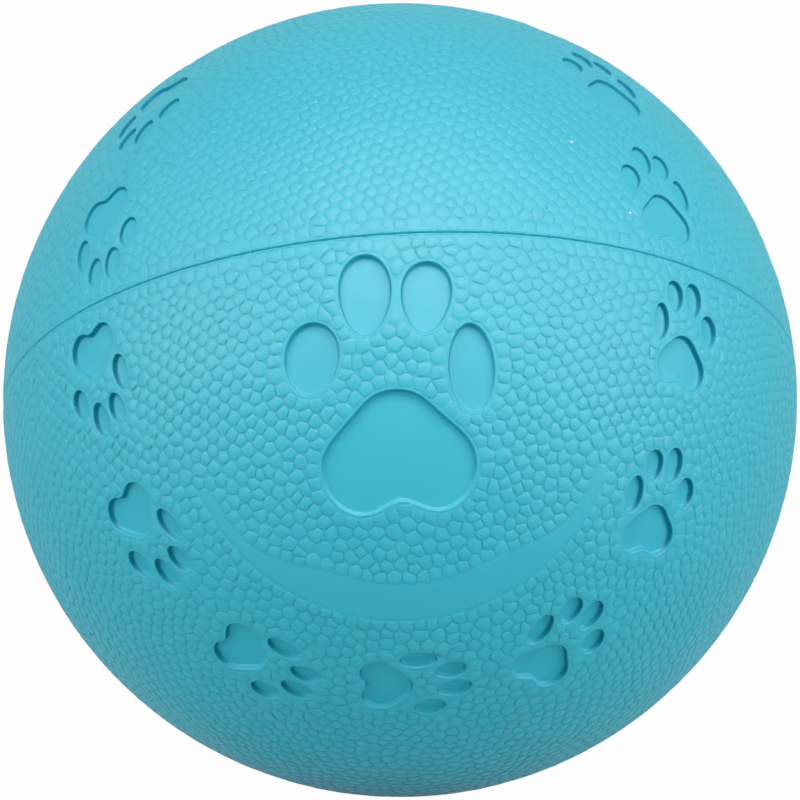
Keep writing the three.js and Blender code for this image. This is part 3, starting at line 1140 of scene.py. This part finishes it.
class Finish:
    """The node tree of one material or of the world."""

    def __init__(self, owner):
        owner.use_nodes = True
        self.owner = owner
        self.tree = owner.node_tree

    @classmethod
    def material(cls, name):
        """A new material with a Principled surface."""
        finish = cls(bpy.data.materials.new(name))
        finish.surface = finish.tree.nodes["Principled BSDF"]
        return finish

    def node(self, kind, settings=None, sockets=None, output=0):
        """Adds a node, sets it up, feeds its sockets and gives one of its outputs."""
        added = self.tree.nodes.new(kind)
        for key, value in (settings or {}).items():
            setattr(added, key, value)
        for key, value in (sockets or {}).items():
            self.feed(added.inputs[key], value)
        return Wire(self, added.outputs[output])

    def feed(self, socket, value):
        """Links a wire to a socket, or sets the socket's own value."""
        if isinstance(value, Wire):
            self.tree.links.new(value.socket, socket)
        else:
            socket.default_value = value

    def set(self, **sockets):
        """Feeds the Principled surface; an underscore stands for a space."""
        for key, value in sockets.items():
            self.feed(self.surface.inputs[key.replace("_", " ")], value)

    def cover(self, share, shader):
        """Lays a share of another shader over what the surface has so far."""
        surface = self.tree.nodes["Material Output"].inputs["Surface"]
        so_far = Wire(self, surface.links[0].from_socket)
        mixed = self.node("ShaderNodeMixShader", sockets={0: share, 1: so_far, 2: shader})
        self.feed(surface, mixed)

    def mix(self, share, first, second):
        """A colour between two others."""
        return self.node(
            "ShaderNodeMix",
            {"data_type": "RGBA", "clamp_factor": True},
            {"Factor": share, 6: first, 7: second},
            output=2,
        )

    def object_place(self):
        """Where a point lies on the object, in metres."""
        return self.node("ShaderNodeTexCoord", output="Object")

    def noise(self, place, grain, detail=2.0, roughness=0.5):
        """Soft noise with a grain in millimetres."""
        sockets = {
            "Vector": place,
            "Scale": 1.0 / (grain * MM),
            "Detail": detail,
            "Roughness": roughness,
        }
        return self.node("ShaderNodeTexNoise", sockets=sockets)

    def ramp(self, value, low, high):
        """0 below low, 1 above high, and smooth between them."""
        return self.node(
            "ShaderNodeMapRange",
            {"interpolation_type": "SMOOTHSTEP"},
            {"Value": value, "From Min": low, "From Max": high},
        )

    def point_value(self, name):
        """A number kept on the mesh's points."""
        return self.node("ShaderNodeAttribute", {"attribute_name": name}, output="Fac")

    def seen_directly(self):
        """1 for what the camera sees, straight, mirrored or through glass, and 0 for other light."""
        kinds = ("Is Camera Ray", "Is Glossy Ray", "Is Transmission Ray")
        rays = [self.node("ShaderNodeLightPath", output=kind) for kind in kinds]
        return sum(rays, 0.0)

    def bump(self, height, strength, distance):
        """A normal tilted by fine relief, with its depth in millimetres."""
        sockets = {"Height": height, "Strength": strength, "Distance": distance * MM}
        return self.node("ShaderNodeBump", sockets=sockets)


def with_alpha(rgb):
    """A property's colour as a socket takes it."""
    return (*rgb, 1.0)


def on_photo(mark, radius):
    """The point of the ball that a pixel of the photograph shows."""
    eye = Vector((0.0, -CAMERA_RADII * radius, 0.0))
    ray = Vector((mark.x - PHOTO_CENTRE, FOCAL_PIXELS, PHOTO_CENTRE - mark.y)).normalized()
    ahead = -eye.dot(ray)
    reach = ahead - math.sqrt(radius**2 - (eye.length_squared - ahead**2))
    return eye + reach * ray


def marks_mask(finish, place, marks, radius):
    """How strongly any of the marks covers a point."""
    wavy = finish.noise(place, 0.5) - 0.5
    total = 0.0
    for mark in marks:
        middle = on_photo(mark, radius)
        apart = finish.node(
            "ShaderNodeVectorMath",
            {"operation": "DISTANCE"},
            {0: place, 1: middle},
            output="Value",
        )
        size = mark.size * MM
        away = apart + wavy * (MARK_WOBBLE * size)
        cover = 1.0 - finish.ramp(away, MARK_CORE * size, MARK_EDGE * size)
        total = cover * mark.strength + total
    return total


def rubber_finish(colours, sizes):
    """Satin turquoise rubber, with painted shade: deeper in the grooves and prints and dark on the print
    walls; chalky on the pebbles.
    """
    finish = Finish.material("turquoise_rubber")
    place = finish.object_place()
    furrow = finish.point_value("furrow")
    sunken = finish.point_value("sunken")
    wall_shade = finish.point_value("wall_shade")
    cloud = finish.noise(place, 14.0, detail=3.0)
    grain = finish.noise(place, 0.35, detail=3.0, roughness=0.6)
    # Painted shade: the grooves get a darker turquoise.
    base = finish.mix(furrow * GROOVE_SHADE, with_alpha(colours.rubber), with_alpha(colours.groove))
    # Painted shade: the prints' floors get a slightly deeper turquoise as they get deeper.
    base = finish.mix(sunken, base, with_alpha(colours.sunken))
    chalk = finish.ramp(grain * 0.6 + cloud * 0.4, low=0.42, high=0.72)
    chalk = chalk * (1.0 - furrow) * (1.0 - sunken * 0.6)
    base = finish.mix(chalk * BLOOM_TINT, base, with_alpha(colours.bloom))
    radius = sizes.diameter / 2.0
    dust = finish.ramp(finish.noise(place, 0.55, detail=1.0), low=0.80, high=0.86) * DUST_TINT
    pale = dust + marks_mask(finish, place, PALE_SPECKS, radius)
    base = finish.mix(pale, base, with_alpha(colours.fleck))
    for marks, tint in ((DARK_SPECKS, colours.dirt), (STAINS, colours.stain)):
        base = finish.mix(marks_mask(finish, place, marks, radius), base, with_alpha(tint))
    finish.set(
        Base_Color=base,
        Roughness=0.52 + cloud * 0.08 + furrow * 0.08 + chalk * 0.06,
        Specular_IOR_Level=0.3,
        Sheen_Weight=0.08,
        Sheen_Roughness=0.5,
    )
    relief = finish.noise(place, 0.12, roughness=0.55) * 0.7 + grain * 0.3
    finish.set(Normal=finish.bump(relief, strength=0.35, distance=0.02))
    # Painted shade: the print walls get a dark, dull surface, weighted by each point's share of painted
    # wall shade.
    wall_shade_surface = {"Base Color": with_alpha(colours.wall), "Roughness": 1.0, "Specular IOR Level": 0.0}
    finish.cover(wall_shade, finish.node("ShaderNodeBsdfPrincipled", sockets=wall_shade_surface))
    return finish.owner


def moulded_finish(name, base_colour, *, grain, roughness, depth, variation):
    """A moulded or cast finish: slight clouds of colour, uneven gloss and fine relief."""
    finish = Finish.material(name)
    place = finish.object_place()
    cloud = finish.noise(place, grain, detail=3.0, roughness=0.55)
    fine = finish.noise(place, 0.08 * grain, roughness=0.6)
    shade = tuple(0.8 * value for value in base_colour)
    patches = finish.ramp(cloud * 0.7 + fine * 0.3, low=0.35, high=0.75) * variation
    finish.set(
        Base_Color=finish.mix(patches, with_alpha(base_colour), with_alpha(shade)),
        Roughness=roughness - 0.08 + fine * 0.16,
        Normal=finish.bump(fine, strength=0.3, distance=depth),
    )
    return finish.owner


def dress_nodes(finish, *names):
    """Gives CAD nodes a finish."""
    for name in names:
        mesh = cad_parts[name].data
        mesh.materials.clear()
        mesh.materials.append(finish)


class DOGBALL_OT_halves(bpy.types.Operator):
    """Moulds both halves of the ball, with pebbles, paw prints, seam and vent"""

    bl_idname = "dog_ball.halves"
    bl_label = "Mould the halves"

    def execute(self, context):
        sizes = context.scene.dog_ball_sizes
        socket = context.scene.dog_ball_socket
        finish = rubber_finish(context.scene.dog_ball_colours, sizes)
        paw = moulded_half("paw_half_skin", PAW_SIDE, sizes, socket, finish)
        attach(paw, "lower_ball")
        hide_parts("paw_half")
        vent = moulded_half("vent_half_skin", VENT_SIDE, sizes, socket, finish)
        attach(vent, "upper_ball")
        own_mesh(vent)
        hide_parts("vent_half")
        return {"FINISHED"}


class DOGBALL_OT_socket(bpy.types.Operator):
    """Moulds the rubber socket under the vent that grips the squeaker"""

    bl_idname = "dog_ball.socket"
    bl_label = "Mould the socket"

    def execute(self, context):
        sizes = context.scene.dog_ball_sizes
        socket = context.scene.dog_ball_socket
        edge = SOCKET_EDGE
        profile = [
            (socket.bore + edge, socket.root),
            (socket.bore, socket.root - edge),
            (socket.bore, socket.groove_top),
            (socket.groove, socket.groove_top),
            (socket.groove, socket.groove_bottom),
            (socket.lip + edge, socket.groove_bottom),
            (socket.lip, socket.groove_bottom - edge),
            (socket.mouth, socket.bottom),
            (socket.outside - 3.0 * edge, socket.bottom),
            (socket.outside - edge, socket.bottom + edge),
            (socket.outside, socket.bottom + 3.0 * edge),
            (socket.outside, socket.root - edge),
            (socket.outside - edge, socket.root),
        ]
        points = revolved(profile, INSIDE_STEPS)
        rings = np.arange(len(points)).reshape(len(profile), INSIDE_STEPS).tolist()
        faces = []
        for ring, following in zip(rings, rings[1:] + rings[:1]):
            faces += bridged(ring, following)
        rubber = context.scene.dog_ball_colours.rubber
        finish = moulded_finish(
            "plain_rubber", rubber, grain=6.0, roughness=0.55, depth=0.02, variation=0.5
        )
        piece = new_piece("squeaker_socket", points, faces, as_it_lies(sizes), finish)
        face_outwards(piece.data)
        piece.data.set_sharp_from_angle(angle=math.radians(SOCKET_SHARP))
        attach(piece, "upper_ball")
        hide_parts("vent_half")
        return {"FINISHED"}


class DOGBALL_OT_seam_bead(bpy.types.Operator):
    """Finishes the cement bead that bonds the halves"""

    bl_idname = "dog_ball.seam_bead"
    bl_label = "Finish the seam bead"

    def execute(self, context):
        cement = context.scene.dog_ball_colours.cement
        finish = moulded_finish(
            "cement", cement, grain=4.0, roughness=0.7, depth=0.08, variation=0.9
        )
        dress_nodes(finish, "seam_bond")
        return {"FINISHED"}


class DOGBALL_OT_squeaker(bpy.types.Operator):
    """Finishes the squeaker's cup, cover, reed and reed holder"""

    bl_idname = "dog_ball.squeaker"
    bl_label = "Finish the squeaker"

    def execute(self, context):
        colours = context.scene.dog_ball_colours
        white = moulded_finish(
            "white_plastic", colours.white_plastic, grain=5.0, roughness=0.4, depth=0.01, variation=0.35
        )
        grey = moulded_finish(
            "grey_plastic", colours.grey_plastic, grain=3.0, roughness=0.45, depth=0.01, variation=0.4
        )
        film = moulded_finish(
            "reed_film", colours.film, grain=2.0, roughness=0.3, depth=0.004, variation=0.5
        )
        dress_nodes(white, "squeaker_body", "squeaker_cover")
        dress_nodes(grey, "reed_holder", "reed_plug")
        dress_nodes(film, "reed")
        return {"FINISHED"}


class DOGBALL_OT_stage(bpy.types.Operator):
    """Sets up the floor, the soft light and the camera"""

    bl_idname = "dog_ball.stage"
    bl_label = "Set up the stage"

    def execute(self, context):
        scene = context.scene
        sizes = scene.dog_ball_sizes
        scene.view_settings.view_transform = "Standard"
        radius = sizes.diameter / 2.0
        add_camera(scene, radius)
        add_floor(scene, radius)
        add_lights(scene, radius)
        add_world(scene)
        return {"FINISHED"}


def add_camera(scene, radius):
    """The photograph's camera: level with the ball's middle, a long lens."""
    camera = bpy.data.cameras.new("camera")
    camera.sensor_width = SENSOR
    camera.lens = SENSOR * FOCAL_PIXELS / PHOTO_SIZE
    camera.clip_start = CLIP_START
    holder = bpy.data.objects.new("camera", camera)
    holder.location = (0.0, -CAMERA_RADII * radius, 0.0)
    holder.rotation_euler = (math.radians(90.0), 0.0, 0.0)
    scene.collection.objects.link(holder)
    scene.camera = holder


def add_floor(scene, radius):
    """A broad pale floor that curves up behind, with the ball's shadow kept, clear from below."""
    reach, bend = FLOOR_REACH * radius, FLOOR_BEND * radius
    line = [(-reach, 0.0)]
    for turn in np.linspace(0.0, 0.5 * math.pi, FLOOR_BEND_STEPS + 1):
        line.append((reach - bend + bend * math.sin(turn), bend - bend * math.cos(turn)))
    line.append((reach, reach))
    level = radius + FLOOR_DROP
    points = [(x, y, z - level) for y, z in line for x in (-reach, reach)]
    faces = [(2 * k, 2 * k + 1, 2 * k + 3, 2 * k + 2) for k in range(len(line) - 1)]
    mesh = bpy.data.meshes.new("floor")
    mesh.from_pydata(points, [], faces)
    mesh.polygons.foreach_set("use_smooth", [True] * len(faces))
    finish = Finish.material("pale_floor")
    seen = finish.seen_directly()
    colours = scene.dog_ball_colours
    base = finish.mix(seen, with_alpha(colours.floor), WHITE)
    finish.set(Base_Color=base, Roughness=0.9, Specular_IOR_Level=0.1)
    white = finish.node("ShaderNodeEmission", sockets={"Color": WHITE, "Strength": 1.0})
    finish.cover(seen * FLOOR_WHITE, white)
    underneath = finish.node("ShaderNodeNewGeometry", output="Backfacing")
    looking = finish.node("ShaderNodeLightPath", output="Is Camera Ray")
    finish.cover(underneath * looking, finish.node("ShaderNodeBsdfTransparent"))
    mesh.materials.append(finish.owner)
    floor = bpy.data.objects.new("floor", mesh)
    scene.collection.objects.link(floor)


def add_lights(scene, radius):
    """Soft boxes above and to both sides, each with a twin that adds gloss alone."""
    for box in SOFT_BOXES:
        add_lamp(scene, box.name, box, radius, radius, box.power)
        twin = add_lamp(scene, box.name + "_gloss", box, radius, box.gloss_share * radius, box.gloss)
        twin.visible_diffuse = False


def add_lamp(scene, name, box, radius, size, power):
    """One lamp of a soft box, which faces the ball."""
    place = Vector(box.place) * radius
    lamp = bpy.data.lights.new(name, "AREA")
    lamp.shape = "RECTANGLE"
    lamp.size = box.width * size
    lamp.size_y = box.height * size
    lamp.energy = power
    holder = bpy.data.objects.new(name, lamp)
    holder.location = place
    holder.rotation_euler = (-place).to_track_quat("-Z", "Y").to_euler()
    scene.collection.objects.link(holder)
    return holder


def add_world(scene):
    """Even white light, seen as plain white."""
    world = bpy.data.worlds.new("studio")
    scene.world = world
    finish = Finish(world)
    strength = WORLD_LIGHT + finish.seen_directly() * (1.0 - WORLD_LIGHT)
    background = finish.tree.nodes["Background"]
    finish.feed(background.inputs["Color"], WHITE)
    finish.feed(background.inputs["Strength"], strength)


class DOGBALL_PT_panel(bpy.types.Panel):
    """Sizes, colours and steps of the dog ball"""

    bl_label = "Dog Ball"
    bl_idname = "DOGBALL_PT_panel"
    bl_space_type = "VIEW_3D"
    bl_region_type = "UI"
    bl_category = "Dog Ball"

    def draw(self, context):
        for group in (
            context.scene.dog_ball_sizes,
            context.scene.dog_ball_socket,
            context.scene.dog_ball_colours,
        ):
            box = self.layout.box()
            for name in group.__annotations__:
                box.prop(group, name)
        for operator in STEPS:
            self.layout.operator(operator.bl_idname)


STEPS = (
    DOGBALL_OT_stage,
    DOGBALL_OT_halves,
    DOGBALL_OT_socket,
    DOGBALL_OT_seam_bead,
    DOGBALL_OT_squeaker,
)
GROUPS = {
    "dog_ball_sizes": BallSizes,
    "dog_ball_socket": SocketSizes,
    "dog_ball_colours": BallColours,
}


def register():
    """Adds the property groups, the operators and the panel."""
    for group in (*GROUPS.values(), *STEPS, DOGBALL_PT_panel):
        bpy.utils.register_class(group)
    for name, group in GROUPS.items():
        setattr(bpy.types.Scene, name, bpy.props.PointerProperty(type=group))


def unregister():
    """Takes them out again."""
    for name in GROUPS:
        delattr(bpy.types.Scene, name)
    for group in reversed((*GROUPS.values(), *STEPS, DOGBALL_PT_panel)):
        bpy.utils.unregister_class(group)


def main():
    """Builds everything."""
    register()
    bpy.ops.dog_ball.stage()
    bpy.ops.dog_ball.halves()
    bpy.ops.dog_ball.socket()
    bpy.ops.dog_ball.seam_bead()
    bpy.ops.dog_ball.squeaker()


if __name__ == "__main__":
    main()
